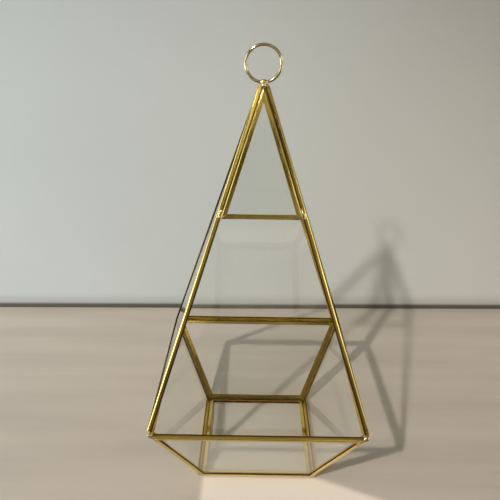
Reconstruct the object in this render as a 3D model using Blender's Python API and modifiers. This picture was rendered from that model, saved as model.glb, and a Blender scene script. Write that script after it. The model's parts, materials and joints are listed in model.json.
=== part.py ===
"""A tall brass and glass terrarium: a steep four-sided pyramid on a tapered base.

Nine flat panes each sit in a folded brass channel. The channels meet at their inner edges, so
that an open V-shaped groove runs along every outside edge, and they are soldered together at the
corners. The front is open between the small top pane and the lower front pane. A wire ring
stands on the tip.

Metres, +Z up. The origin is the middle of the base, on the surface that the terrarium stands on,
and the open front faces -Y.
"""

import math

import bmesh
import bpy
from mathutils import Matrix, Vector

# The glazed body, measured on the inner edges where the channels meet
BELT_HALF_WIDTH = 0.0720
BELT_HEIGHT = 0.0687
BASE_HALF_WIDTH = 0.0425
TIP_HEIGHT = 0.2860
CROSSBAR_SHARE = 0.3675
TIP_CUT = 0.0010

# The folded brass channel and the glass that it holds
CHANNEL_THICKNESS = 0.0033
CHANNEL_FACE = 0.0032
CHANNEL_WALL = 0.0004
CHANNEL_FOLD = 0.00035
CHANNEL_FOLD_STEPS = 2
GLASS_THICKNESS = 0.0019
FIT_GAP = 0.0003
JOINT_GAP = 0.0002

# The wire ring that stands on the tip
RING_DIAMETER = 0.0242
RING_LIFT = 0.0010
RING_WIRE = 0.0020
RING_STEPS = 64
WIRE_STEPS = 12

# The solder at the joints
BELT_SOLDER_RADIUS = 0.0025
BASE_SOLDER_RADIUS = 0.0022
CROSSBAR_SOLDER_RADIUS = 0.0019
CROSSBAR_SOLDER_STRETCH = 2.0
CROSSBAR_SOLDER_RISE = 0.0050
TIP_SOLDER_RADIUS = 0.0031
TIP_SOLDER_LIFT = 0.0006
SOLDER_OUT = 0.0013
SOLDER_STEPS = 20
SOLDER_FLOOR = 0.0003
CORE_GROWTH = 1.006
CORE_CENTRE_HEIGHT = 0.080

SIDES = ("front", "right", "back", "left")
UP = Vector((0, 0, 1))
CORNERS = (("front", "left"), ("front", "right"), ("back", "right"), ("back", "left"))


def clear_scene():
    """Remove whatever the scene holds."""
    for item in list(bpy.data.objects):
        bpy.data.objects.remove(item)


def new_collection(name):
    """A collection linked to the scene."""
    collection = bpy.data.collections.new(name)
    bpy.context.scene.collection.children.link(collection)
    return collection


def principled(name, colour, roughness, metallic, transmission=0.0):
    """A Principled material."""
    material = bpy.data.materials.new(name)
    material.use_nodes = True
    shader = material.node_tree.nodes["Principled BSDF"]
    shader.inputs["Base Color"].default_value = (*colour, 1.0)
    shader.inputs["Roughness"].default_value = roughness
    shader.inputs["Metallic"].default_value = metallic
    shader.inputs["Transmission Weight"].default_value = transmission
    return material


def move_to(item, collection):
    """Keep an object in one collection only."""
    for other in list(item.users_collection):
        other.objects.unlink(item)
    collection.objects.link(item)


def weld(mesh):
    """Join a mesh's loose caps to its walls and turn its faces outwards."""
    work = bmesh.new()
    work.from_mesh(mesh)
    bmesh.ops.remove_doubles(work, verts=work.verts, dist=0.00001)
    bmesh.ops.recalc_face_normals(work, faces=work.faces)
    work.to_mesh(mesh)
    work.free()


def clip_outline(outline, point, inward):
    """The part of a convex outline on the inward side of a line through a point."""
    kept = []
    for here, there in zip(outline, outline[1:] + outline[:1]):
        here_side = (here - point).dot(inward)
        there_side = (there - point).dot(inward)
        if here_side >= 0:
            kept.append(here)
        if here_side * there_side < 0:
            kept.append(here.lerp(there, here_side / (here_side - there_side)))
    return kept


def inset_outline(outline, distance):
    """A convex outline with every edge moved inwards."""
    kept = list(outline)
    for here, there in zip(outline, outline[1:] + outline[:1]):
        along = (there - here).normalized()
        inward = Vector((-along.y, along.x))
        kept = clip_outline(kept, here + inward * distance, inward)
    return kept


class Pane:
    """One pane's outline, laid flat: local X along its lower edge, Y up the pane, Z outwards."""

    def __init__(self, name, corners, pointed):
        self.name = name
        self.pointed = pointed
        across = (corners[1] - corners[0]).normalized()
        outward = across.cross(corners[2] - corners[0]).normalized()
        up_pane = outward.cross(across)
        turn = Matrix((across, up_pane, outward)).transposed()
        self.place = Matrix.Translation(corners[0]) @ turn.to_4x4()
        to_local = self.place.inverted()
        self.outline = [(to_local @ corner).to_2d() for corner in corners]

    def blunted(self, outline, below_tip):
        """The outline with its sharp top cut off square, where the pane runs up to the tip."""
        if not self.pointed:
            return outline
        tip = self.outline[-1]
        return clip_outline(outline, tip - Vector((0, below_tip)), Vector((0, -1)))

    def at_depth(self, depth):
        """The pane's placing, moved outwards."""
        return self.place @ Matrix.Translation((0, 0, depth))


def make_panes():
    """The nine panes, by the inner corners of the body."""
    tip = Vector((0, 0, TIP_HEIGHT))
    belt_left = Vector((-BELT_HALF_WIDTH, -BELT_HALF_WIDTH, BELT_HEIGHT))
    belt_right = Vector((BELT_HALF_WIDTH, -BELT_HALF_WIDTH, BELT_HEIGHT))
    base_left = Vector((-BASE_HALF_WIDTH, -BASE_HALF_WIDTH, CHANNEL_THICKNESS))
    base_right = Vector((BASE_HALF_WIDTH, -BASE_HALF_WIDTH, CHANNEL_THICKNESS))
    panes = []
    for step, side in enumerate(SIDES):
        turn = Matrix.Rotation(step * math.pi / 2, 3, "Z")
        if side == "front":
            lower_left = tip.lerp(belt_left, CROSSBAR_SHARE)
            lower_right = tip.lerp(belt_right, CROSSBAR_SHARE)
            panes.append(Pane("front_top", [lower_left, lower_right, tip], True))
        else:
            upper = [turn @ belt_left, turn @ belt_right, tip]
            panes.append(Pane(side + "_upper", upper, True))
        lower = [base_left, base_right, belt_right, belt_left]
        panes.append(Pane(side + "_lower", [turn @ corner for corner in lower], False))
    low, high = -BASE_HALF_WIDTH, BASE_HALF_WIDTH
    floor_corners = [(low, high), (high, high), (high, low), (low, low)]
    base = [Vector((x, y, CHANNEL_THICKNESS)) for x, y in floor_corners]
    panes.append(Pane("base", base, False))
    return panes


def flat_plate(name, outline, thickness, place, collection):
    """A closed flat plate: a filled outline thickened half each way about its plane."""
    curve = bpy.data.curves.new(name, "CURVE")
    curve.dimensions = "2D"
    curve.fill_mode = "BOTH"
    curve.extrude = thickness / 2
    spline = curve.splines.new("POLY")
    spline.points.add(len(outline) - 1)
    for point, corner in zip(spline.points, outline):
        point.co = (corner.x, corner.y, 0, 1)
    spline.use_cyclic_u = True
    drawn = bpy.data.objects.new(name + "_outline", curve)
    collection.objects.link(drawn)
    drawn.matrix_world = place
    bpy.context.view_layer.update()
    evaluated = drawn.evaluated_get(bpy.context.evaluated_depsgraph_get())
    mesh = bpy.data.meshes.new_from_object(evaluated)
    weld(mesh)
    plate = bpy.data.objects.new(name, mesh)
    plate.matrix_world = drawn.matrix_world
    collection.objects.link(plate)
    bpy.data.objects.remove(drawn)
    return plate


def hide_cutter(item):
    """Mark an object as a cutter."""
    item.hide_render = True
    item.display_type = "WIRE"
    return item


def cut_with(item, cutter):
    """Take one cutter's shape out of an object."""
    cut = item.modifiers.new("cut_" + cutter.name, "BOOLEAN")
    cut.operation = "DIFFERENCE"
    cut.object = cutter


def round_folds(item):
    """Round the outside of the folded strip."""
    fold = item.modifiers.new("folds", "BEVEL")
    fold.width = CHANNEL_FOLD
    fold.segments = CHANNEL_FOLD_STEPS
    fold.limit_method = "ANGLE"


def make_frame(pane, brass, parts, cutters):
    """The brass channel folded round one pane, open inwards, with its slot for the glass."""
    middle = pane.at_depth(CHANNEL_THICKNESS / 2)
    outside = pane.blunted(inset_outline(pane.outline, JOINT_GAP), TIP_CUT)
    window = inset_outline(pane.outline, JOINT_GAP + CHANNEL_FACE)
    slot = pane.blunted(inset_outline(pane.outline, JOINT_GAP + CHANNEL_WALL), TIP_CUT + CHANNEL_WALL)
    slot_width = CHANNEL_THICKNESS - 2 * CHANNEL_WALL
    frame = flat_plate(pane.name + "_frame", outside, CHANNEL_THICKNESS, middle, parts)
    round_folds(frame)
    opening = flat_plate(pane.name + "_opening", window, 2 * CHANNEL_THICKNESS, middle, cutters)
    groove = flat_plate(pane.name + "_slot", slot, slot_width, middle, cutters)
    cut_with(frame, hide_cutter(opening))
    cut_with(frame, hide_cutter(groove))
    frame.data.materials.append(brass)


def make_glass(pane, glass, parts):
    """The pane's glass, clear of the channel that holds it."""
    edge = JOINT_GAP + CHANNEL_WALL + FIT_GAP
    outline = pane.blunted(inset_outline(pane.outline, edge), TIP_CUT + CHANNEL_WALL + FIT_GAP)
    middle = pane.at_depth(CHANNEL_THICKNESS / 2)
    sheet = flat_plate(pane.name + "_glass", outline, GLASS_THICKNESS, middle, parts)
    sheet.data.materials.append(glass)


def ring_height():
    """The height of the ring's centre, its wire resting in the solder just over the tip."""
    return TIP_HEIGHT + RING_LIFT + RING_DIAMETER / 2


def make_ring(name, wire, collection):
    """A ring of round wire, standing upright and facing the front."""
    bpy.ops.mesh.primitive_torus_add(
        major_radius=(RING_DIAMETER - RING_WIRE) / 2,
        minor_radius=wire / 2,
        major_segments=RING_STEPS,
        minor_segments=WIRE_STEPS,
        location=(0, 0, ring_height()),
        rotation=(math.pi / 2, 0, 0),
    )
    ring = bpy.context.object
    ring.name = name
    ring.data.name = name
    ring.data.shade_smooth()
    move_to(ring, collection)
    return ring


def make_core(points, collection):
    """The space inside the body, a little enlarged, which no solder reaches into."""
    centre = Vector((0, 0, CORE_CENTRE_HEIGHT))
    mesh = bpy.data.meshes.new("inner_space")
    work = bmesh.new()
    for point in points:
        work.verts.new(centre + (point - centre) * CORE_GROWTH)
    bmesh.ops.remove_doubles(work, verts=work.verts, dist=0.0001)
    hull = bmesh.ops.convex_hull(work, input=work.verts)
    bmesh.ops.delete(work, geom=hull["geom_interior"], context="VERTS")
    bmesh.ops.recalc_face_normals(work, faces=work.faces)
    work.to_mesh(mesh)
    work.free()
    core = bpy.data.objects.new("inner_space", mesh)
    collection.objects.link(core)
    return hide_cutter(core)


def make_floor_block(collection):
    """The space below the base, so that the solder stays off the surface underneath."""
    size = 4 * BASE_HALF_WIDTH
    bpy.ops.mesh.primitive_cube_add(size=size, location=(0, 0, SOLDER_FLOOR - size / 2))
    block = bpy.context.object
    block.name = "below_base"
    move_to(block, collection)
    return hide_cutter(block)


def make_solder_spaces(panes):
    """Everything that the solder has to stay clear of, as one collection of cutters."""
    spaces = new_collection("solder_spaces")
    grown = CHANNEL_THICKNESS + JOINT_GAP + FIT_GAP
    depth = (CHANNEL_THICKNESS + JOINT_GAP - FIT_GAP) / 2
    for pane in panes:
        outline = pane.blunted(pane.outline, TIP_CUT - JOINT_GAP)
        place = pane.at_depth(depth)
        hide_cutter(flat_plate(pane.name + "_space", outline, grown, place, spaces))
    corners = [pane.place @ corner.to_3d() for pane in panes for corner in pane.outline]
    make_core(corners, spaces)
    make_floor_block(spaces)
    hide_cutter(make_ring("ring_space", RING_WIRE + 2 * FIT_GAP, spaces))
    return spaces


def make_solder(name, centre, radius, spaces, solder, parts, along=UP, stretch=1.0):
    """One bead of solder, filling the grooves between the channels at a joint."""
    bpy.ops.mesh.primitive_uv_sphere_add(
        segments=SOLDER_STEPS,
        ring_count=SOLDER_STEPS // 2,
        radius=radius,
    )
    bead = bpy.context.object
    bead.name = name
    bead.data.name = name
    lengthen = Matrix.Diagonal((1, 1, stretch, 1))
    turn = UP.rotation_difference(along).to_matrix().to_4x4()
    bead.data.transform(Matrix.Translation(centre) @ turn @ lengthen)
    bead.data.shade_smooth()
    move_to(bead, parts)
    cut = bead.modifiers.new("clear_of_channels", "BOOLEAN")
    cut.operation = "DIFFERENCE"
    cut.operand_type = "COLLECTION"
    cut.collection = spaces
    bead.data.materials.append(solder)


def make_joints(spaces, solder, parts):
    """The solder at the tip, the crossbar's ends and the corners of the belt and the base."""
    tip = Vector((0, 0, TIP_HEIGHT))
    tip_centre = tip + UP * TIP_SOLDER_LIFT
    make_solder("solder_tip", tip_centre, TIP_SOLDER_RADIUS, spaces, solder, parts)
    for depth_name, width_name in CORNERS:
        across = -1 if width_name == "left" else 1
        along = -1 if depth_name == "front" else 1
        outward = Vector((across, along, 0)) * SOLDER_OUT
        belt = Vector((across * BELT_HALF_WIDTH, along * BELT_HALF_WIDTH, BELT_HEIGHT))
        base = Vector((across * BASE_HALF_WIDTH, along * BASE_HALF_WIDTH, CHANNEL_THICKNESS))
        corner = depth_name + "_" + width_name
        at_belt, at_base = belt + outward, base + outward
        make_solder("solder_belt_" + corner, at_belt, BELT_SOLDER_RADIUS, spaces, solder, parts)
        make_solder("solder_base_" + corner, at_base, BASE_SOLDER_RADIUS, spaces, solder, parts)
        if depth_name == "front":
            groove = (tip - belt).normalized()
            centre = tip.lerp(belt, CROSSBAR_SHARE) + outward + groove * CROSSBAR_SOLDER_RISE
            name = "solder_crossbar_" + width_name
            radius, stretch = CROSSBAR_SOLDER_RADIUS, CROSSBAR_SOLDER_STRETCH
            make_solder(name, centre, radius, spaces, solder, parts, groove, stretch)


def main():
    """Build the terrarium."""
    clear_scene()
    parts = new_collection("terrarium")
    cutters = new_collection("cutters")
    brass = principled("brass_channel", (0.55, 0.42, 0.15), 0.22, 1.0)
    wire = principled("brass_wire", (0.62, 0.52, 0.27), 0.18, 1.0)
    solder = principled("brass_solder", (0.66, 0.56, 0.30), 0.25, 1.0)
    glass = principled("clear_glass", (0.95, 0.97, 0.95), 0.02, 0.0, 1.0)
    panes = make_panes()
    for pane in panes:
        make_frame(pane, brass, parts, cutters)
        make_glass(pane, glass, parts)
    ring = make_ring("top_ring", RING_WIRE, parts)
    ring.data.materials.append(wire)
    make_joints(make_solder_spaces(panes), solder, parts)


main()
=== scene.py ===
"""The looks of a tall brass and glass terrarium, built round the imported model.

Nine panes of clear glass sit in folded brass channel. Each channel is made strip by strip and
mitred at the corners, the corners are joined with lumps of solder, and a wire ring stands in the
solder at the tip.
"""

import json
import logging
import math
import random
from dataclasses import dataclass, field, replace
from enum import Enum
from itertools import product
from typing import Callable

import bmesh
import bpy
from mathutils import Matrix, Vector

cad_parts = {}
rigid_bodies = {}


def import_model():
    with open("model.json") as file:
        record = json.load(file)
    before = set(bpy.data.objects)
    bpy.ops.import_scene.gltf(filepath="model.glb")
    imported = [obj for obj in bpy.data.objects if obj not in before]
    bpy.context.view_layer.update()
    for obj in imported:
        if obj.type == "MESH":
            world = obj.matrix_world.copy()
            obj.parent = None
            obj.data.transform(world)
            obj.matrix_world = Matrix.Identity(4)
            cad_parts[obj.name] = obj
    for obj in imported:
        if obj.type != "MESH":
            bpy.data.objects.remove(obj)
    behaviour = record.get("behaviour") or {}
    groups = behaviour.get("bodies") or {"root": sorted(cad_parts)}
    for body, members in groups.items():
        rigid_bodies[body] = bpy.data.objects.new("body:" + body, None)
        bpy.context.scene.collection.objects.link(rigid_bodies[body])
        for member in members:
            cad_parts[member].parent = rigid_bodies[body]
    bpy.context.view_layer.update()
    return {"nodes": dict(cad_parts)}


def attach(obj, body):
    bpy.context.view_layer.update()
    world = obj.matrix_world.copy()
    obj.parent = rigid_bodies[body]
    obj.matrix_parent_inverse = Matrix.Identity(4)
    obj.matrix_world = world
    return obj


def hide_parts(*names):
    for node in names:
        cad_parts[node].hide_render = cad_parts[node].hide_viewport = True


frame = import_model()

LOG = logging.getLogger("terrarium")
UP = Vector((0.0, 0.0, 1.0))

# Points nearer than SAME are one. A direction looks along an axis when its part there is over
# FACING.
SAME = 0.000001
FACING = 0.9

Colour = tuple[float, float, float]
Element = bmesh.types.BMEdge | bmesh.types.BMFace
Span = tuple[float, float]

FADE_IN: Span = (0.0, 1.0)
FADE_OUT: Span = (1.0, 0.0)


class Side(Enum):
    """The four sides of the body, in quarter turns from the open front."""

    FRONT = 0
    RIGHT = 1
    BACK = 2
    LEFT = 3

    @property
    def turn(self) -> Matrix:
        """The rotation that brings the front to this side."""
        return Matrix.Rotation(self.value * math.pi / 2, 3, "Z")


class Slot(Enum):
    """The record's material slots."""

    CHANNEL = "brass_channel"
    WIRE = "brass_wire"
    SOLDER = "brass_solder"
    GLASS = "clear_glass"


class Part(Enum):
    """What is picked on a mesh."""

    EDGES = 0
    FACES = 1


# Shared modelling steps.


def deselect() -> None:
    """Leave nothing selected and no mode but object mode."""
    if bpy.context.object and bpy.context.object.mode != "OBJECT":
        bpy.ops.object.mode_set(mode="OBJECT")
    for item in bpy.context.scene.objects:
        item.select_set(False)


def take(item: bpy.types.Object) -> None:
    """Make one object the active and only selected one.

    Args:
        item: The object to work on.
    """
    deselect()
    item.select_set(True)
    bpy.context.view_layer.objects.active = item


def pick(item: bpy.types.Object, part: Part, wanted: Callable[[Element], bool]) -> None:
    """Go into edit mode with only the wanted edges or faces selected.

    Args:
        item: The object, in object mode.
        part: Whether edges or faces are picked.
        wanted: Tells whether one of them is picked.
    """
    take(item)
    bpy.ops.object.mode_set(mode="EDIT")
    edges = part is Part.EDGES
    bpy.context.tool_settings.mesh_select_mode = (False, edges, not edges)
    bpy.ops.mesh.select_all(action="DESELECT")
    work = bmesh.from_edit_mesh(item.data)
    for element in work.edges if edges else work.faces:
        element.select_set(wanted(element))
    bmesh.update_edit_mesh(item.data)


def close_mesh() -> None:
    """Go back to object mode."""
    bpy.ops.object.mode_set(mode="OBJECT")


def bisect(item: bpy.types.Object, point: Vector, keep: Vector) -> None:
    """Cut an object with a plane, close the cut and keep one side.

    Args:
        item: The object, in object mode.
        point: A point on the plane.
        keep: The plane's normal, towards the side that stays.
    """
    take(item)
    bpy.ops.object.mode_set(mode="EDIT")
    bpy.ops.mesh.select_all(action="SELECT")
    bpy.ops.mesh.bisect(
        plane_co=point,
        plane_no=keep,
        use_fill=True,
        clear_inner=True,
        threshold=SAME,
    )
    bpy.ops.object.mode_set(mode="OBJECT")


def apply_modifier(item: bpy.types.Object, kind: str, **settings: object) -> None:
    """Add a modifier, set it and apply it.

    Args:
        item: The object, in object mode.
        kind: The modifier's type.
        **settings: Its settings by name.
    """
    take(item)
    added = item.modifiers.new(kind.lower(), kind)
    for name, value in settings.items():
        setattr(added, name, value)
    bpy.ops.object.modifier_apply(modifier=added.name)


def ripple(
    piece: bpy.types.Object, name: str, length: float, strength: float, middle: float
) -> None:
    """Make a surface uneven.

    Args:
        piece: The piece, at the origin.
        name: The pattern's name.
        length: The pattern's wavelength.
        strength: How far it moves the surface.
        middle: The pattern's level that stays in place.
    """
    grain = bpy.data.textures.new(name, "CLOUDS")
    grain.noise_scale = length
    settings = {"texture": grain, "texture_coords": "LOCAL"}
    apply_modifier(piece, "DISPLACE", strength=strength, mid_level=middle, **settings)


def join(items: list[bpy.types.Object], name: str) -> bpy.types.Object:
    """Join meshes into one named object at the origin.

    Args:
        items: The meshes, at the origin.
        name: The piece's name.

    Returns:
        The joined piece.
    """
    take(items[0])
    for item in items:
        item.select_set(True)
    if len(items) > 1:
        bpy.ops.object.join()
    piece = bpy.context.object
    piece.name = name
    piece.data.name = name
    return piece


def hand_over(piece: bpy.types.Object, nodes: list[str]) -> None:
    """Let a finished piece stand for its CAD nodes and report it.

    Args:
        piece: The finished piece, at the origin.
        nodes: The CAD nodes that it stands for.
    """
    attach(piece, "root")
    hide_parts(*nodes)
    LOG.info("%s: %d faces, for %s", piece.name, len(piece.data.polygons), ", ".join(nodes))


# Finishes.


class Nodes:
    """A material's or world's node tree, with short ways to add and wire nodes."""

    def __init__(self, owner: bpy.types.Material | bpy.types.World) -> None:
        """Empty a node tree.

        Args:
            owner: The new material or world.
        """
        owner.use_nodes = True
        self.owner = owner
        self.tree = owner.node_tree
        self.tree.nodes.clear()

    def add(self, kind: str, **inputs: object) -> bpy.types.Node:
        """Add a node and fill its sockets.

        Args:
            kind: The node's type without its prefix.
            **inputs: Attributes of the node in lower case, or socket values and links, with
                underscores for spaces and a leading capital.

        Returns:
            The new node.
        """
        node = self.tree.nodes.new("ShaderNode" + kind)
        for name, value in inputs.items():
            if name[0].islower():
                setattr(node, name, value)
            else:
                self.plug(value, node.inputs[name.replace("_", " ")])
        return node

    def plug(self, value: object, socket: bpy.types.NodeSocket) -> None:
        """Link an output to a socket, or set the socket's own value.

        Args:
            value: The output, or the plain value, a colour without its alpha.
            socket: The input socket.
        """
        if isinstance(value, bpy.types.NodeSocket):
            self.tree.links.new(value, socket)
        elif socket.type == "RGBA":
            socket.default_value = (*value, 1.0)
        else:
            socket.default_value = value

    def mark(self, name: str) -> bpy.types.NodeSocket:
        """A number that the mesh holds at each of its points."""
        return self.add("Attribute", attribute_name=name).outputs["Fac"]

    def noise(self, vector: object, scale: float, detail: float) -> bpy.types.NodeSocket:
        """A noise pattern.

        Args:
            vector: Where the pattern is read.
            scale: Its scale.
            detail: Its number of octaves.

        Returns:
            The pattern from 0 to 1.
        """
        made = self.add("TexNoise", Vector=vector, Scale=scale, Detail=detail)
        return made.outputs["Fac"]

    def between(self, value: object, span: Span, onto: Span) -> bpy.types.NodeSocket:
        """Map one range to another, smoothly and within its limits.

        Args:
            value: The number to map.
            span: The range that it comes from.
            onto: The range that it goes to.

        Returns:
            The mapped number.
        """
        made = self.add("MapRange", interpolation_type="SMOOTHSTEP", Value=value)
        for name, limit in zip(("From Min", "From Max", "To Min", "To Max"), (*span, *onto)):
            made.inputs[name].default_value = limit
        return made.outputs["Result"]

    def blend(self, share: object, first: object, second: object) -> bpy.types.NodeSocket:
        """Mix two colours.

        Args:
            share: The second colour's share.
            first: The first colour.
            second: The second colour.

        Returns:
            The mixed colour.
        """
        made = self.add("Mix", data_type="RGBA")
        colours = [socket for socket in made.inputs if socket.type == "RGBA"]
        self.plug(share, made.inputs[0])
        self.plug(first, colours[0])
        self.plug(second, colours[1])
        return next(socket for socket in made.outputs if socket.type == "RGBA")

    def reckon(self, operation: str, first: object, second: object) -> bpy.types.NodeSocket:
        """Join two numbers by one operation.

        Args:
            operation: The operation's name.
            first: The first number.
            second: The second number.

        Returns:
            The result.
        """
        made = self.add("Math", operation=operation)
        self.plug(first, made.inputs[0])
        self.plug(second, made.inputs[1])
        return made.outputs[0]

    def choose(
        self, share: object, first: bpy.types.Node, second: bpy.types.Node
    ) -> bpy.types.NodeSocket:
        """Mix two shaders.

        Args:
            share: The second shader's share.
            first: The first shader.
            second: The second shader.

        Returns:
            The mixed shader.
        """
        made = self.add("MixShader", Fac=share)
        self.plug(first.outputs[0], made.inputs[1])
        self.plug(second.outputs[0], made.inputs[2])
        return made.outputs["Shader"]

    def finish(
        self, shader: bpy.types.NodeSocket, output: str = "OutputMaterial"
    ) -> bpy.types.Material | bpy.types.World:
        """Send a shader to the output.

        Args:
            shader: The surface's shader.
            output: The output node's type without its prefix.

        Returns:
            The material or world.
        """
        self.add(output, Surface=shader)
        return self.owner


@dataclass(frozen=True)
class BrassFinish:
    """Polished brass that has dulled a little, with drawn lines and marks of heat by the solder.

    A scale is the number of pattern cells in a metre. A height or depth on a strip's profile is
    in metres, from its inner corner.
    """

    name: str
    bright: Colour
    dull: Colour
    heated: Colour
    smooth: float
    rough: float
    folded: bool = True
    bump: float = 0.08
    slot_shade: Colour = (0.50, 0.34, 0.11)
    groove_grime_and_shade: Colour = (0.20, 0.105, 0.022)
    lip_black: Colour = (0.035, 0.026, 0.011)
    brown_tone: Colour = (0.42, 0.23, 0.055)
    cloud_scale: float = 45.0
    grain_scale: float = 900.0
    spot_scale: float = 260.0
    line_scale: tuple[float, float, float] = (30.0, 5200.0, 1.0)
    dulled: Span = (0.42, 0.70)
    dulled_share: Span = (0.0, 0.55)
    scorched: Span = (0.38, 0.62)
    scorched_share: Span = (0.1, 1.0)
    groove_height: Span = (0.0007, 0.0016)
    groove_depth: Span = (0.0003, 0.0009)
    lip_depth: Span = (0.0022, 0.0028)
    lined: Span = (0.3, 0.7)
    stained: Span = (0.55, 0.75)
    stain_roughness: Span = (0.0, 0.12)
    scorch_roughness: float = 0.18
    line_relief: float = 0.6
    cloud_relief: float = 1.6
    relief_height: float = 0.0004

    def drawn_lines(self, nodes: Nodes) -> bpy.types.NodeSocket:
        """Draw fine lines along a folded strip.

        Args:
            nodes: The material's nodes.

        Returns:
            The lines from 0 to 1.
        """
        along = nodes.add("UVMap", uv_map="strip").outputs["UV"]
        stretched = nodes.add("Mapping", Vector=along, Scale=self.line_scale)
        return nodes.noise(stretched.outputs["Vector"], 1.0, detail=2.0)

    def strip_marks(self, nodes: Nodes, colour: bpy.types.NodeSocket) -> bpy.types.NodeSocket:
        """Add a folded strip's painted shade in slot and groove, groove grime, near-black lips,
        browner tone.

        Args:
            nodes: The material's nodes.
            colour: The brass without them.

        Returns:
            The brass with them.
        """
        profile = nodes.add("UVMap", uv_map="profile").outputs["UV"]
        split = nodes.add("SeparateXYZ", Vector=profile)
        depth, height = split.outputs["X"], split.outputs["Y"]
        low = nodes.between(height, self.groove_height, FADE_OUT)
        web = nodes.between(depth, self.groove_depth, FADE_OUT)
        lip = nodes.between(depth, self.lip_depth, FADE_IN)
        layers = (
            # Painted shade: the faces inside the slot are coloured darker brown.
            (nodes.mark("painted_slot_shade"), self.slot_shade),
            # Grime and painted shade in the groove, near the web's inner corner.
            (nodes.reckon("MULTIPLY", low, web), self.groove_grime_and_shade),
            # Near-black lips on the side panes' rear strips.
            (nodes.reckon("MULTIPLY", nodes.mark("black_lipped"), lip), self.lip_black),
            # A browner tone on the base's back strip.
            (nodes.mark("tarnished"), self.brown_tone),
        )
        for share, layer in layers:
            colour = nodes.blend(share, colour, layer)
        return colour

    def material(self) -> bpy.types.Material:
        """Build the material.

        Returns:
            The brass material.
        """
        nodes = Nodes(bpy.data.materials.new(self.name))
        place = nodes.add("TexCoord").outputs["Object"]
        clouds = nodes.noise(place, self.cloud_scale, detail=4.0)
        spots = nodes.noise(place, self.spot_scale, detail=5.0)
        dulled = nodes.between(clouds, self.dulled, self.dulled_share)
        colour = nodes.blend(dulled, self.bright, self.dull)
        scorched = nodes.between(spots, self.scorched, self.scorched_share)
        scorch = nodes.reckon("MULTIPLY", nodes.mark("near_joint"), scorched)
        colour = nodes.blend(scorch, colour, self.heated)
        if self.folded:
            lines = self.drawn_lines(nodes)
            colour = self.strip_marks(nodes, colour)
        else:
            lines = nodes.noise(place, self.grain_scale, detail=2.0)
        roughness = nodes.between(lines, self.lined, (self.smooth, self.rough))
        stains = nodes.between(spots, self.stained, self.stain_roughness)
        roughness = nodes.reckon("ADD", roughness, stains)
        burnt = nodes.reckon("MULTIPLY", scorch, self.scorch_roughness)
        roughness = nodes.reckon("ADD", roughness, burnt)
        fine = nodes.reckon("MULTIPLY", lines, self.line_relief)
        broad = nodes.reckon("MULTIPLY", clouds, self.cloud_relief)
        relief = nodes.reckon("ADD", fine, broad)
        bump = nodes.add("Bump", Strength=self.bump, Distance=self.relief_height, Height=relief)
        shader = nodes.add(
            "BsdfPrincipled",
            Base_Color=colour,
            Metallic=1.0,
            Roughness=roughness,
            Normal=bump.outputs["Normal"],
        )
        return nodes.finish(shader.outputs["BSDF"])


@dataclass(frozen=True)
class GlassFinish:
    """Clear flat glass with faint smears and a few specks of dust."""

    name: str
    tint: Colour
    lets_through: Colour
    smear: float
    smear_scale: float = 38.0
    speck_scale: float = 1500.0
    smeared: Span = (0.52, 0.75)
    specked: Span = (0.80, 0.84)
    speck_clearness: float = 0.55
    index: float = 1.5

    def material(self) -> bpy.types.Material:
        """Build the material. Lamps shine through it, so that it throws hardly any shadow.

        Returns:
            The glass material.
        """
        nodes = Nodes(bpy.data.materials.new(self.name))
        place = nodes.add("TexCoord").outputs["Object"]
        smears = nodes.noise(place, self.smear_scale, detail=3.0)
        specks = nodes.noise(place, self.speck_scale, detail=0.0)
        glass = nodes.add(
            "BsdfPrincipled",
            Base_Color=self.tint,
            Roughness=nodes.between(smears, self.smeared, (0.0, self.smear)),
            IOR=self.index,
            Transmission_Weight=nodes.between(specks, self.specked, (1.0, self.speck_clearness)),
        )
        clear = nodes.add("BsdfTransparent", Color=self.lets_through)
        path = nodes.add("LightPath").outputs
        unseen = nodes.reckon("MAXIMUM", path["Is Shadow Ray"], path["Is Diffuse Ray"])
        return nodes.finish(nodes.choose(unseen, glass, clear))


@dataclass(frozen=True)
class StageFinish:
    """A plain matt surface with a faint unevenness."""

    name: str
    pale: Colour
    deep: Colour
    scale: tuple[float, float, float]
    uneven: Span = (0.3, 0.7)
    roughness: float = 0.75

    def colour(self, nodes: Nodes, place: bpy.types.NodeSocket) -> bpy.types.NodeSocket:
        """Mix the surface's two tones.

        Args:
            nodes: The material's nodes.
            place: The object coordinates.

        Returns:
            The colour.
        """
        laid = nodes.add("Mapping", Vector=place, Scale=self.scale).outputs["Vector"]
        share = nodes.between(nodes.noise(laid, 1.0, detail=5.0), self.uneven, FADE_IN)
        return nodes.blend(share, self.pale, self.deep)


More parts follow.
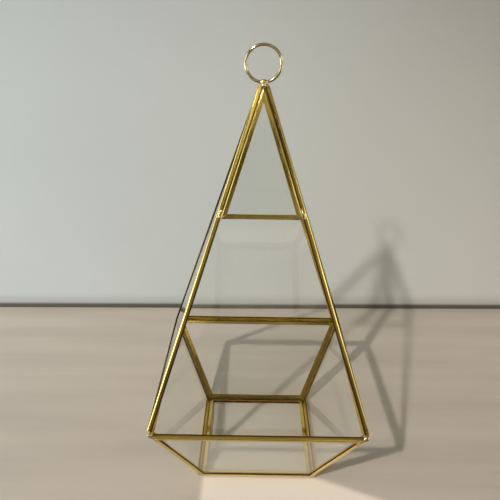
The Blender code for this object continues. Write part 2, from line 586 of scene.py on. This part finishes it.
@dataclass(frozen=True)
class FloorFinish(StageFinish):
    """The table, with a painted glow for the patch of light that the front pane throws back on
    it.

    The patch is a rectangle with a slanted right end, in metres. Beyond the lamp's reach the
    camera sees the table pale instead of unlit. The brass mirrors it darker in front, as if it
    ended there.
    """

    shaded: Colour = (0.27, 0.24, 0.205)
    shaded_from: Span = (-0.082, -0.070)
    glow: Colour = (1.0, 0.86, 0.68)
    patch: float = 0.30
    front: float = -0.0690
    back: float = -0.0425
    left: float = -0.0415
    right: float = 0.0425
    slant: float = 2.39
    edge: float = 0.0030
    slanted_edge: float = 0.0090
    far: Span = (0.42, 0.95)
    far_glow: Span = (0.0, 0.30)

    def lit(self, nodes: Nodes, place: bpy.types.NodeSocket) -> bpy.types.NodeSocket:
        """Outline the patch of light.

        Args:
            nodes: The material's nodes.
            place: The object coordinates.

        Returns:
            The patch from 0 to 1.
        """
        split = nodes.add("SeparateXYZ", Vector=place)
        across, along = split.outputs["X"], split.outputs["Y"]
        slanted = nodes.reckon("ADD", across, nodes.reckon("MULTIPLY", along, self.slant))
        end = self.right + self.slant * self.back
        limits = (
            (along, (self.front - self.edge, self.front + self.edge), FADE_IN),
            (along, (self.back - self.edge, self.back), FADE_OUT),
            (across, (self.left - self.edge, self.left + self.edge), FADE_IN),
            (slanted, (end - self.slanted_edge, end + self.slanted_edge), FADE_OUT),
        )
        whole = nodes.between(*limits[0])
        for limit in limits[1:]:
            whole = nodes.reckon("MULTIPLY", whole, nodes.between(*limit))
        return whole

    def material(self) -> bpy.types.Material:
        """Build the material.

        Returns:
            The floor's material.
        """
        nodes = Nodes(bpy.data.materials.new(self.name))
        place = nodes.add("TexCoord").outputs["Object"]
        seen = nodes.add("LightPath").outputs["Is Camera Ray"]
        unseen = nodes.reckon("SUBTRACT", 1.0, seen)
        along = nodes.add("SeparateXYZ", Vector=place).outputs["Y"]
        # Painted shade: rays other than the camera's see the table darker in front.
        ahead = nodes.between(along, self.shaded_from, FADE_OUT)
        dim = nodes.reckon("MULTIPLY", ahead, unseen)
        # Painted light: the camera sees the table far away glowing pale.
        reach = nodes.add("VectorMath", operation="LENGTH")
        nodes.plug(place, reach.inputs[0])
        away = nodes.between(reach.outputs["Value"], self.far, self.far_glow)
        far = nodes.reckon("MULTIPLY", away, seen)
        # Painted light: the patch is an emission on the table, not light from a lamp.
        patch = nodes.reckon("MULTIPLY", self.lit(nodes, place), self.patch)
        matt = nodes.add(
            "BsdfPrincipled",
            Base_Color=nodes.blend(dim, self.colour(nodes, place), self.shaded),
            Roughness=self.roughness,
            Emission_Color=self.glow,
            Emission_Strength=nodes.reckon("ADD", patch, far),
        )
        return nodes.finish(matt.outputs["BSDF"])


@dataclass(frozen=True)
class WallFinish(StageFinish):
    """The wall, with painted warmer light to the right, painted shade along its foot, and
    see-through from behind.
    """

    warm_light: Colour = (0.655, 0.660, 0.620)
    warm_light_from: Span = (-0.28, 0.34)
    foot_shadow: Colour = (0.085, 0.072, 0.055)
    gap_shadow: Span = (0.0038, 0.0080)
    gap_shadow_share: Span = (0.66, 0.0)
    shade: Span = (0.0040, 0.0220)
    shade_share: Span = (0.32, 0.0)

    def material(self) -> bpy.types.Material:
        """Build the material.

        Returns:
            The wall's material.
        """
        nodes = Nodes(bpy.data.materials.new(self.name))
        place = nodes.add("TexCoord").outputs["Object"]
        split = nodes.add("SeparateXYZ", Vector=place)
        across, high = split.outputs["X"], split.outputs["Z"]
        # Painted light: the wall turns warmer towards the right, where the light is warmer.
        right = nodes.between(across, self.warm_light_from, FADE_IN)
        colour = nodes.blend(right, self.colour(nodes, place), self.warm_light)
        # Painted shadow along the wall's foot: a dark line and a softer shade above it.
        gap_shadow = nodes.between(high, self.gap_shadow, self.gap_shadow_share)
        shade = nodes.between(high, self.shade, self.shade_share)
        colour = nodes.blend(nodes.reckon("ADD", gap_shadow, shade), colour, self.foot_shadow)
        matt = nodes.add("BsdfPrincipled", Base_Color=colour, Roughness=self.roughness)
        clear = nodes.add("BsdfTransparent")
        behind = nodes.add("NewGeometry").outputs["Backfacing"]
        return nodes.finish(nodes.choose(behind, matt, clear))


# The body.


@dataclass
class Pane:
    """One pane's outline, laid flat: local X along its lower edge, Y up the pane, Z outwards."""

    name: str
    corners: list[Vector]
    pointed: bool

    @property
    def place(self) -> Matrix:
        """The placing of the pane's own axes in the world.

        Returns:
            The matrix that turns the pane's own coordinates into the world's.
        """
        first, second, third = self.corners[:3]
        across = (second - first).normalized()
        outward = across.cross(third - first).normalized()
        turn = Matrix((across, outward.cross(across), outward)).transposed()
        return Matrix.Translation(first) @ turn.to_4x4()

    @property
    def outline(self) -> list[Vector]:
        """The corners in the pane's own plane."""
        to_local = self.place.inverted()
        return [to_local @ corner for corner in self.corners]


@dataclass
class Body:
    """The glazed body by its inner corners: a tapered tray under a steep pyramid."""

    belt_half: float = 0.0720
    belt_height: float = 0.0687
    base_half: float = 0.0425
    floor_height: float = 0.0033
    tip_height: float = 0.2860
    crossbar_share: float = 0.3675

    @property
    def tip(self) -> Vector:
        """The point where the four upper panes meet."""
        return Vector((0.0, 0.0, self.tip_height))

    def belt(self, across: int, along: int) -> Vector:
        """A corner of the belt, by its two directions."""
        return Vector((across * self.belt_half, along * self.belt_half, self.belt_height))

    def base(self, across: int, along: int) -> Vector:
        """A corner of the base, by its two directions."""
        return Vector((across * self.base_half, along * self.base_half, self.floor_height))

    def crossbar(self, across: int) -> Vector:
        """The crossbar's end on one of the two front edges."""
        return self.tip.lerp(self.belt(across, -1), self.crossbar_share)

    def panes(self) -> list[Pane]:
        """Lay out the nine panes.

        Returns:
            The panes, named as the CAD nodes are.
        """
        made = []
        lower = [self.base(-1, -1), self.base(1, -1), self.belt(1, -1), self.belt(-1, -1)]
        upper = [self.belt(-1, -1), self.belt(1, -1), self.tip]
        for side in Side:
            name = side.name.lower()
            if side is Side.FRONT:
                small = [self.crossbar(-1), self.crossbar(1), self.tip]
                made.append(Pane("front_top", small, True))
            else:
                made.append(Pane(name + "_upper", [side.turn @ c for c in upper], True))
            made.append(Pane(name + "_lower", [side.turn @ c for c in lower], False))
        floor = [self.base(-1, 1), self.base(1, 1), self.base(1, -1), self.base(-1, -1)]
        made.append(Pane("base", floor, False))
        return made


@dataclass
class Channel:
    """Folded brass channel round a pane, one mitred strip along each side.

    The spare is the strip's length past each corner before it is cut, and the flat is how
    near two places have to be to count as one.
    """

    thickness: float = 0.0033
    face: float = 0.0032
    wall: float = 0.0004
    inset: float = -0.00004
    fold_radius: float = 0.0009
    fold_steps: int = 7
    inner_radius: float = 0.0003
    inner_steps: int = 3
    lip_radius: float = 0.00012
    lip_steps: int = 2
    seam: float = 0.00007
    seam_edge: float = 0.00018
    tip_cut: float = 0.0010
    cuts: int = 44
    sawn_corners: int = 8
    waver: float = 0.00007
    waver_length: float = 0.02
    waver_middle: float = 0.5
    smooth_angle: float = 35.0
    heat_reach: float = 0.0065
    map_lean: float = 1.37
    map_shift: float = 7.3
    spare: float = 0.004
    flat: float = 0.00002
    finish: BrassFinish = BrassFinish(
        Slot.CHANNEL.value,
        bright=(0.86, 0.635, 0.165),
        dull=(0.72, 0.50, 0.12),
        heated=(0.30, 0.18, 0.05),
        smooth=0.05,
        rough=0.14,
    )

    def strip(self, length: float) -> bpy.types.Object:
        """Fold one straight strip along X, its open slot towards +Y.

        Args:
            length: The side's length between its corners.

        Returns:
            The strip, longer than the side at both ends.
        """
        deselect()
        middle = (length / 2, self.inset + self.face / 2, self.thickness / 2)
        bpy.ops.mesh.primitive_cube_add(size=1, location=middle)
        made = bpy.context.object
        made.scale = (length + 2 * self.spare, self.face, self.thickness)
        bpy.ops.object.transform_apply(location=True, rotation=True, scale=True)
        pick(made, Part.FACES, lambda face: face.normal.y > FACING)
        bpy.ops.mesh.inset(thickness=self.wall)
        bpy.ops.mesh.extrude_region_move(
            TRANSFORM_OT_translate={"value": (0.0, self.wall - self.face, 0.0)}
        )
        close_mesh()
        web, lip = self.inset, self.inset + self.face
        self.round_edges(made, web, (0.0, self.flat), self.inner_radius, self.inner_steps)
        outside = (self.thickness - self.flat, self.thickness)
        self.round_edges(made, web, outside, self.fold_radius, self.fold_steps)
        self.round_edges(made, lip, (0.0, self.thickness), self.lip_radius, self.lip_steps)
        return made

    def round_edges(
        self,
        made: bpy.types.Object,
        depth: float,
        heights: Span,
        radius: float,
        steps: int,
    ) -> None:
        """Round the long edges at one depth of a strip.

        Args:
            made: The strip.
            depth: The edges' place in Y.
            heights: The lowest and highest place in Z that is rounded.
            radius: The rounding's width.
            steps: Its number of segments.
        """

        low, high = heights[0] - self.flat, heights[1] + self.flat

        def along(edge: Element) -> bool:
            """Tell whether an edge runs along the strip at this place.

            Args:
                edge: The edge.

            Returns:
                Whether it does.
            """
            ends = [vertex.co for vertex in edge.verts]
            near = all(abs(end.y - depth) < self.flat and low < end.z < high for end in ends)
            return near and abs(ends[0].x - ends[1].x) > self.spare

        pick(made, Part.EDGES, along)
        bpy.ops.mesh.bevel(offset=radius, segments=steps, affect="EDGES")
        close_mesh()

    def mitre(self, made: bpy.types.Object, length: float, first: float, last: float) -> None:
        """Cut both ends of a strip to half of their corner's angle.

        Args:
            made: The strip.
            length: The side's length.
            first: The pane's angle at the side's start.
            last: The pane's angle at its end.
        """
        keep = Vector((math.sin(first / 2), -math.cos(first / 2), 0.0))
        bisect(made, keep * self.seam, keep)
        keep = Vector((-math.sin(last / 2), -math.cos(last / 2), 0.0))
        bisect(made, Vector((length, 0.0, 0.0)) + keep * self.seam, keep)

    def soften_ends(self, made: bpy.types.Object) -> None:
        """Take the sharpness off the strip's sawn ends, so that the seams catch the light.

        Args:
            made: The strip, cut at both ends.
        """

        def sawn(edge: Element) -> bool:
            """Tell whether an edge goes round a sawn end, which alone has many corners."""
            return any(len(face.verts) > self.sawn_corners for face in edge.link_faces)

        pick(made, Part.EDGES, sawn)
        bpy.ops.mesh.bevel(offset=self.seam_edge, segments=1, affect="EDGES")
        close_mesh()

    def divide(self, made: bpy.types.Object) -> None:
        """Cut the strip's long edges into short lengths.

        Args:
            made: The strip.
        """
        long = 3 * self.spare
        pick(made, Part.EDGES, lambda edge: abs(edge.verts[0].co.x - edge.verts[1].co.x) > long)
        bpy.ops.mesh.subdivide(number_cuts=self.cuts)
        close_mesh()

    def mark(
        self, made: bpy.types.Object, length: float, black_lipped: bool, tarnished: bool
    ) -> None:
        """Give a strip the maps that its drawn lines, grime and painted shade follow, and its
        marks of heat.

        Args:
            made: The strip, along X.
            length: The side's length.
            black_lipped: Whether its lip is darkened to near black.
            browner: Whether it is coloured a browner tone.
        """
        mesh = made.data
        chart = mesh.uv_layers.new(name="strip")
        profile = mesh.uv_layers.new(name="profile")
        shift = length * self.map_shift
        for loop in mesh.loops:
            spot = mesh.vertices[loop.vertex_index].co
            chart.data[loop.index].uv = (spot.x + shift, spot.y + self.map_lean * spot.z + shift)
            profile.data[loop.index].uv = (spot.y, spot.z)
        names = ("near_joint", "painted_slot_shade", "black_lipped", "tarnished")
        for name in names:
            mesh.attributes.new(name, "FLOAT", "POINT")
        heat, slot_shade, black, brown = (mesh.attributes[name].data for name in names)
        bottom = self.inset + self.wall - self.flat
        low, high = self.wall - self.flat, self.thickness - self.wall + self.flat
        for step, vertex in enumerate(mesh.vertices):
            reach = max(0.0, min(vertex.co.x, length - vertex.co.x))
            heat[step].value = math.exp(-reach / self.heat_reach)
            # Painted shade: marks the faces inside the slot, which are coloured darker.
            slot_shade[step].value = float(vertex.co.y > bottom and low < vertex.co.z < high)
            black[step].value = float(black_lipped)
            brown[step].value = float(tarnished)

    def side(self, pane: Pane, step: int) -> bpy.types.Object:
        """Make the strip along one side of a pane.

        Args:
            pane: The pane.
            step: Which side, from its lower edge round.

        Returns:
            The strip in place, its object at the origin.
        """
        outline = pane.outline
        count = len(outline)
        before, here, there, after = (outline[(step + k - 1) % count] for k in range(4))
        length = (there - here).length
        made = self.strip(length)
        first = (before - here).angle(there - here)
        last = (here - there).angle(after - there)
        self.mitre(made, length, first, last)
        along = (there - here).normalized()
        turn = Matrix((along, UP.cross(along), UP)).transposed().to_4x4()
        lay = Matrix.Translation(here) @ turn
        if pane.pointed:
            tip = outline[-1] - Vector((0.0, self.tip_cut, 0.0))
            down = turn.inverted() @ Vector((0.0, -1.0, 0.0))
            bisect(made, lay.inverted() @ tip, down)
        self.soften_ends(made)
        self.divide(made)
        outward = pane.place.to_3x3() @ UP
        depths = [(pane.place @ corner).y for corner in (here, there)]
        # The side panes' rear strips have their lips darkened to near black.
        black_lipped = pane.pointed and abs(outward.x) > FACING and max(depths) >= self.spare
        # The base's back strip is coloured a browner tone.
        tarnished = pane.name == "base" and min(depths) > self.spare
        self.mark(made, length, black_lipped, tarnished)
        made.data.transform(pane.place @ lay)
        return made

    def build(self, pane: Pane) -> bpy.types.Object:
        """Make the whole channel of one pane.

        Args:
            pane: The pane.

        Returns:
            The finished piece.
        """
        strips = [self.side(pane, step) for step in range(len(pane.corners))]
        piece = join(strips, pane.name + "_channel")
        name = pane.name + "_waver"
        ripple(piece, name, self.waver_length, self.waver, self.waver_middle)
        take(piece)
        bpy.ops.object.shade_smooth_by_angle(angle=math.radians(self.smooth_angle))
        apply_modifier(piece, "WEIGHTED_NORMAL", keep_sharp=True)
        return piece


@dataclass
class Glazing:
    """The panes of glass, which keep the shape of their CAD nodes."""

    finish: GlassFinish = GlassFinish(
        Slot.GLASS.value,
        tint=(0.985, 0.995, 0.985),
        lets_through=(0.955, 0.962, 0.950),
        smear=0.035,
    )

    def dress(self, panes: list[Pane]) -> None:
        """Give every pane its glass.

        Args:
            panes: The nine panes.
        """
        glass = self.finish.material()
        for pane in panes:
            sheet = frame["nodes"][pane.name + "_glass"]
            sheet.material_slots[0].material = glass
            LOG.info("%s: clear glass", sheet.name)


@dataclass
class Lump:
    """One rounded lump of solder: its middle, its size and how far it is drawn out."""

    centre: Vector
    radius: float
    along: Vector = field(default_factory=lambda: UP.copy())
    stretch: float = 1.0


@dataclass
class SolderWork:
    """The solder at the joints, as lumps that have run together."""

    body: Body
    belt_radius: float = 0.0021
    belt_lumps: int = 5
    base_radius: float = 0.0019
    base_lumps: int = 4
    crossbar_radius: float = 0.0017
    run_at: float = 0.0046
    run_stretch: float = 2.0
    foot_at: float = 0.0016
    foot_share: float = 0.8
    head_at: float = 0.0070
    head_share: float = 0.72
    tip_lumps: tuple[Lump, ...] = (
        Lump(Vector((0.0, 0.0, 0.0019)), 0.0017, Vector((1.0, 0.0, 0.0)), 1.75),
        Lump(Vector((-0.0002, -0.0016, 0.0002)), 0.0013),
        Lump(Vector((0.0, 0.0, -0.0004)), 0.0019),
        Lump(Vector((0.0017, -0.0006, -0.0002)), 0.0012),
    )
    out: float = 0.0013
    belt_out: float = 0.0006
    belt_drop: float = 0.0007
    small_share: Span = (0.38, 0.6)
    sunk: float = 0.75
    ball_steps: int = 4
    voxel: float = 0.00022
    ruffle: float = 0.00028
    ripple_length: float = 0.0016
    ripple_middle: float = 0.6
    smoothing: float = 0.5
    smoothing_rounds: int = 4
    foot_heat: float = 0.7
    tip_seed: int = 3
    corner_seeds: tuple[int, ...] = (10, 30, 50, 70)
    base_seed_step: int = 4
    crossbar_seeds: tuple[int, ...] = (90, 97)
    finish: BrassFinish = BrassFinish(
        Slot.SOLDER.value,
        bright=(0.84, 0.70, 0.36),
        dull=(0.56, 0.38, 0.14),
        heated=(0.22, 0.13, 0.05),
        smooth=0.08,
        rough=0.22,
        folded=False,
        bump=0.25,
    )

    def ball(self, lump: Lump, seed: int) -> bpy.types.Object:
        """Make one lump.

        Args:
            lump: Its place and size.
            seed: What its unevenness grows from.

        Returns:
            The lump, its object at the origin.
        """
        deselect()
        bpy.ops.mesh.primitive_ico_sphere_add(subdivisions=self.ball_steps, radius=lump.radius)
        made = bpy.context.object
        bpy.ops.object.mode_set(mode="EDIT")
        bpy.ops.mesh.select_all(action="SELECT")
        bpy.ops.transform.vertex_random(offset=self.ruffle / 3, seed=seed)
        close_mesh()
        turn = UP.rotation_difference(lump.along).to_matrix().to_4x4()
        draw = Matrix.Diagonal((1.0, 1.0, lump.stretch, 1.0))
        made.data.transform(Matrix.Translation(lump.centre) @ turn @ draw)
        return made

    def melt(self, name: str, lumps: list[Lump], seed: int) -> bpy.types.Object:
        """Run some lumps together into one uneven bead.

        Args:
            name: The piece's name.
            lumps: The lumps that it is made of.
            seed: What its unevenness grows from.

        Returns:
            The finished bead, at the origin.
        """
        piece = join([self.ball(lump, seed + step) for step, lump in enumerate(lumps)], name)
        apply_modifier(piece, "REMESH", mode="VOXEL", voxel_size=self.voxel)
        ripple(piece, name + "_ripple", self.ripple_length, self.ruffle, self.ripple_middle)
        apply_modifier(piece, "SMOOTH", factor=self.smoothing, iterations=self.smoothing_rounds)
        take(piece)
        bpy.ops.object.shade_smooth()
        heat = piece.data.attributes.new("near_joint", "FLOAT", "POINT")
        low, high = piece.bound_box[0][2], piece.bound_box[6][2]
        height = max(high - low, self.voxel)
        for step, vertex in enumerate(piece.data.vertices):
            heat.data[step].value = self.foot_heat * (1.0 - (vertex.co.z - low) / height)
        return piece

    def around(
        self, centre: Vector, radius: float, count: int, chance: random.Random
    ) -> list[Lump]:
        """Scatter small lumps round a joint's main one.

        Args:
            centre: The joint's middle.
            radius: The main lump's radius.
            count: How many small lumps.
            chance: The seeded source of their places.

        Returns:
            All the lumps.
        """
        lumps = [Lump(centre, radius)]
        for _ in range(count):
            way = Vector([chance.uniform(-1, 1) for _ in range(3)]).normalized()
            size = radius * chance.uniform(*self.small_share)
            lumps.append(Lump(centre + way * (radius - size * self.sunk), size))
        return lumps

    def tip(self) -> dict[str, bpy.types.Object]:
        """Make the solder at the tip.

        Returns:
            The bead by its CAD node.
        """
        lumps = [replace(lump, centre=self.body.tip + lump.centre) for lump in self.tip_lumps]
        return {"solder_tip": self.melt("tip_solder", lumps, self.tip_seed)}

    def corners(self) -> dict[str, bpy.types.Object]:
        """Make the solder at the four corners of the belt and of the base.

        Returns:
            The beads by their CAD nodes.
        """
        made = {}
        places = product((("front", -1), ("back", 1)), (("left", -1), ("right", 1)))
        for seed, ((depth, along), (width, across)) in zip(self.corner_seeds, places):
            corner = depth + "_" + width
            outward = Vector((across, along, 0.0))
            belt = self.body.belt(across, along) + (outward * self.belt_out - UP * self.belt_drop)
            base = self.body.base(across, along) + outward * self.out
            chance = random.Random(seed)
            upper = self.around(belt, self.belt_radius, self.belt_lumps, chance)
            lower = self.around(base, self.base_radius, self.base_lumps, chance)
            made["solder_belt_" + corner] = self.melt("belt_solder_" + corner, upper, seed)
            below = seed + self.base_seed_step
            made["solder_base_" + corner] = self.melt("base_solder_" + corner, lower, below)
        return made

    def crossbar(self) -> dict[str, bpy.types.Object]:
        """Make the solder at the crossbar's two ends, drawn out along the front edges.

        Returns:
            The beads by their CAD nodes.
        """
        made = {}
        ends = (("left", -1), ("right", 1))
        for seed, (width, across) in zip(self.crossbar_seeds, ends):
            groove = (self.body.tip - self.body.belt(across, -1)).normalized()
            end = self.body.crossbar(across) + Vector((across, -1, 0.0)) * self.out
            lumps = [
                Lump(end + groove * up, self.crossbar_radius * share, way, stretch)
                for up, share, way, stretch in (
                    (self.run_at, 1.0, groove, self.run_stretch),
                    (self.foot_at, self.foot_share, UP, 1.0),
                    (self.head_at, self.head_share, UP, 1.0),
                )
            ]
            made["solder_crossbar_" + width] = self.melt("crossbar_solder_" + width, lumps, seed)
        return made

    def build(self) -> None:
        """Make every joint's solder."""
        brass = self.finish.material()
        for node, piece in {**self.tip(), **self.corners(), **self.crossbar()}.items():
            piece.data.materials.append(brass)
            hand_over(piece, [node])


@dataclass
class TopRing:
    """The ring of round wire on the tip, its two ends meeting in the solder."""

    diameter: float = 0.0242
    wire: float = 0.0020
    centre_height: float = 0.2987
    lean: float = -0.0005
    gap_degrees: float = 5.0
    steps: int = 144
    wire_steps: int = 24
    smooth_angle: float = 40.0
    heat_reach: float = 0.0035
    finish: BrassFinish = BrassFinish(
        Slot.WIRE.value,
        bright=(0.66, 0.55, 0.31),
        dull=(0.48, 0.38, 0.19),
        heated=(0.22, 0.15, 0.07),
        smooth=0.10,
        rough=0.22,
        folded=False,
        bump=0.05,
    )

    def bend(self) -> bpy.types.Object:
        """Bend the wire into its ring.

        Returns:
            The ring, closed at the wire's two ends.
        """
        deselect()
        centre = Vector((self.lean, 0.0, self.centre_height))
        radius = (self.diameter - self.wire) / 2
        start = math.radians(-90.0 + self.gap_degrees / 2)
        spot = centre + Vector((math.cos(start), 0.0, math.sin(start))) * radius
        bpy.ops.mesh.primitive_circle_add(
            vertices=self.wire_steps,
            radius=self.wire / 2,
            fill_type="NGON",
            location=spot,
            rotation=(0.0, -start, 0.0),
        )
        ring = bpy.context.object
        bpy.ops.object.transform_apply(location=True, rotation=True, scale=True)
        bpy.ops.object.mode_set(mode="EDIT")
        bpy.ops.mesh.select_all(action="SELECT")
        bpy.ops.mesh.spin(
            steps=self.steps,
            angle=math.radians(360.0 - self.gap_degrees),
            center=centre,
            axis=(0.0, -1.0, 0.0),
        )
        bpy.ops.mesh.select_all(action="SELECT")
        bpy.ops.mesh.remove_doubles(threshold=SAME)
        bpy.ops.mesh.select_all(action="DESELECT")
        bpy.context.tool_settings.mesh_select_mode = (False, True, False)
        bpy.ops.mesh.select_non_manifold(use_non_contiguous=False, use_verts=False)
        bpy.ops.mesh.edge_face_add()
        bpy.ops.mesh.select_all(action="SELECT")
        bpy.ops.mesh.normals_make_consistent(inside=False)
        close_mesh()
        return ring

    def build(self) -> None:
        """Make the ring and dress it."""
        ring = self.bend()
        ring.name = "wire_ring"
        ring.data.name = ring.name
        bpy.ops.object.shade_smooth_by_angle(angle=math.radians(self.smooth_angle))
        heat = ring.data.attributes.new("near_joint", "FLOAT", "POINT")
        foot = self.centre_height - self.diameter / 2
        for vertex in ring.data.vertices:
            heat.data[vertex.index].value = math.exp((foot - vertex.co.z) / self.heat_reach)
        ring.data.materials.append(self.finish.material())
        hand_over(ring, ["top_ring"])


# The stage.

COOL: Colour = (0.86, 0.94, 1.0)
PLAIN: Colour = (1.0, 0.96, 0.88)
WARM: Colour = (1.0, 0.93, 0.82)


@dataclass(frozen=True)
class Softbox:
    """A soft lamp that faces the object and isn't seen itself.

    Its bearing is in degrees from straight in front to the right, and its rise in degrees over
    the horizon. A card is seen in the metal and the glass alone, and lights nothing else.
    """

    name: str
    bearing: float
    rise: float
    distance: float
    size: Span
    brightness: float
    colour: Colour
    card: bool = False

    def hang(self, middle: Vector) -> None:
        """Hang the lamp.

        Args:
            middle: The point that it faces.
        """
        lamp = bpy.data.lights.new(self.name, "AREA")
        lamp.shape = "RECTANGLE"
        lamp.size, lamp.size_y = self.size
        lamp.energy = self.brightness * math.pi * self.size[0] * self.size[1]
        lamp.color = self.colour
        holder = bpy.data.objects.new(self.name, lamp)
        bpy.context.scene.collection.objects.link(holder)
        turn, lift = math.radians(self.bearing), math.radians(self.rise)
        level = math.cos(lift)
        away = Vector((math.sin(turn) * level, -math.cos(turn) * level, math.sin(lift)))
        holder.location = middle + away * self.distance
        holder.rotation_euler = away.to_track_quat("Z", "Y").to_euler()
        holder.visible_camera = False
        holder.visible_transmission = False
        holder.visible_diffuse = not self.card


@dataclass
class Studio:
    """A plain pale floor and wall in soft light."""

    wall_distance: float = 0.2117
    wall_turn: float = 1.26
    width: float = 6.0
    depth: float = 8.0
    height: float = 3.0
    room: Colour = (0.062, 0.055, 0.040)
    beyond: Colour = (0.36, 0.37, 0.36)
    floor: FloorFinish = FloorFinish(
        "floor_paint", pale=(0.58, 0.515, 0.45), deep=(0.50, 0.44, 0.385), scale=(3.0, 26.0, 1.0)
    )
    wall: WallFinish = WallFinish(
        "wall_paint", pale=(0.625, 0.685, 0.70), deep=(0.595, 0.655, 0.67), scale=(6.0, 6.0, 6.0)
    )
    key_from: Vector = field(default_factory=lambda: Vector((-0.437, -0.62, 0.652)))
    key_distance: float = 2.5
    key_power: float = 150.0
    key_colour: Colour = (1.0, 0.95, 0.87)
    key_radius: float = 0.05
    key_cone: float = 28.0
    key_blend: float = 0.8
    key_aim: Vector = field(default_factory=lambda: Vector((-0.12, -0.03, 0.02)))
    middle: Vector = field(default_factory=lambda: Vector((0.0, 0.0, 0.12)))
    boxes: tuple[Softbox, ...] = (
        Softbox("window", -78.0, 20.0, 1.4, (1.4, 0.6), 2.4, COOL),
        Softbox("window_foot", -78.0, 1.0, 0.75, (0.9, 0.26), 6.0, COOL, card=True),
        Softbox("lamp_left", -36.0, 12.0, 2.5, (0.8, 0.6), 1.6, PLAIN),
        Softbox("lamp_right", 88.0, 16.0, 1.5, (0.7, 0.4), 3.4, PLAIN),
        Softbox("right_foot", 74.0, 1.0, 0.75, (0.7, 0.26), 1.7, WARM, card=True),
        Softbox("lamp_far_right", 41.0, 12.0, 2.5, (0.9, 0.4), 3.2, WARM),
        Softbox("near_right", 17.5, 19.0, 2.4, (0.50, 1.3), 1.3, PLAIN, card=True),
        Softbox("upper_left", -26.0, 36.0, 2.6, (0.9, 0.8), 0.3, PLAIN),
        Softbox("upper_front", 2.0, 42.0, 2.4, (1.3, 1.1), 0.36, PLAIN),
        Softbox("front", -6.0, 6.0, 2.5, (2.0, 1.3), 0.14, WARM),
        Softbox("ceiling", 0.0, 80.0, 2.0, (2.4, 2.4), 0.16, WARM),
    )

    def plane(
        self, name: str, finish: FloorFinish | WallFinish, size: Span, place: Matrix
    ) -> None:
        """Lay one flat surface of the stage.

        Args:
            name: Its name.
            finish: Its finish.
            size: Its width and depth.
            place: Its place and turn.
        """
        deselect()
        bpy.ops.mesh.primitive_plane_add(size=1)
        made = bpy.context.object
        made.name = name
        made.data.transform(place @ Matrix.Diagonal((size[0], size[1], 1.0, 1.0)))
        made.data.materials.append(finish.material())

    def surfaces(self) -> None:
        """Lay the floor and stand the wall behind the object."""
        self.plane("floor", self.floor, (self.width, self.depth), Matrix.Identity(4))
        stand = Matrix.Translation(Vector((0.0, self.wall_distance, self.height / 2)))
        turned = stand @ Matrix.Rotation(math.radians(self.wall_turn), 4, "Z")
        upright = turned @ Matrix.Rotation(math.radians(90.0), 4, "X")
        self.plane("wall", self.wall, (self.width, self.height), upright)

    def key(self) -> None:
        """Hang the main lamp, whose pool of light ends beyond the object."""
        lamp = bpy.data.lights.new("key", "SPOT")
        lamp.energy = self.key_power
        lamp.shadow_soft_size = self.key_radius
        lamp.spot_size = math.radians(self.key_cone)
        lamp.spot_blend = self.key_blend
        lamp.color = self.key_colour
        holder = bpy.data.objects.new("key", lamp)
        bpy.context.scene.collection.objects.link(holder)
        holder.location = self.middle + self.key_from.normalized() * self.key_distance
        back = holder.location - self.key_aim
        holder.rotation_euler = back.to_track_quat("Z", "Y").to_euler()

    def surroundings(self) -> None:
        """Fill the rest of the room with dim light, which the camera alone sees as paler."""
        nodes = Nodes(bpy.data.worlds.new("room"))
        around = nodes.add("Background", Color=self.room)
        pale = nodes.add("Background", Color=self.beyond)
        seen = nodes.add("LightPath").outputs["Is Camera Ray"]
        both = nodes.choose(seen, around, pale)
        bpy.context.scene.world = nodes.finish(both, "OutputWorld")

    def build(self) -> None:
        """Set up the floor, the wall and the lamps."""
        self.surfaces()
        self.key()
        for box in self.boxes:
            box.hang(self.middle)
        self.surroundings()
        bpy.context.scene.view_settings.view_transform = "Standard"
        LOG.info("floor, wall and lamps")


@dataclass
class PhotoCamera:
    """The camera at the photograph's viewing angle."""

    spot: tuple[float, float, float] = (-0.00617, -0.34203, 0.32635)
    yaw: float = -0.2065
    pitch: float = 24.21
    roll: float = 0.7528
    focal_pixels: float = 524.3
    frame_pixels: int = 500
    sensor: float = 36.0
    nearest: float = 0.01

    def build(self) -> None:
        """Place the camera."""
        yaw, pitch, roll = (math.radians(v) for v in (self.yaw, self.pitch, self.roll))
        level = math.cos(pitch)
        forward = Vector((math.sin(yaw) * level, math.cos(yaw) * level, -math.sin(pitch)))
        right = Vector((math.cos(yaw), -math.sin(yaw), 0.0))
        upward = right.cross(forward)
        turned_right = right * math.cos(roll) + upward * math.sin(roll)
        turned_up = upward * math.cos(roll) - right * math.sin(roll)
        lens = bpy.data.cameras.new("camera")
        lens.sensor_width = self.sensor
        lens.lens = self.sensor * self.focal_pixels / self.frame_pixels
        lens.clip_start = self.nearest
        holder = bpy.data.objects.new("camera", lens)
        bpy.context.scene.collection.objects.link(holder)
        turn = Matrix((turned_right, turned_up, -forward)).transposed()
        holder.matrix_world = Matrix.Translation(self.spot) @ turn.to_4x4()
        bpy.context.scene.camera = holder
        LOG.info("camera at %s", self.spot)


def main() -> None:
    """Build every piece of the terrarium, then the stage and the camera."""
    logging.basicConfig(level=logging.INFO, format="%(name)s: %(message)s")
    PhotoCamera().build()
    body = Body()
    panes = body.panes()
    channel = Channel()
    brass = channel.finish.material()
    for pane in panes:
        piece = channel.build(pane)
        piece.data.materials.clear()
        piece.data.materials.append(brass)
        hand_over(piece, [pane.name + "_frame"])
    Glazing().dress(panes)
    SolderWork(body).build()
    TopRing().build()
    Studio().build()


if __name__ == "__main__":
    main()
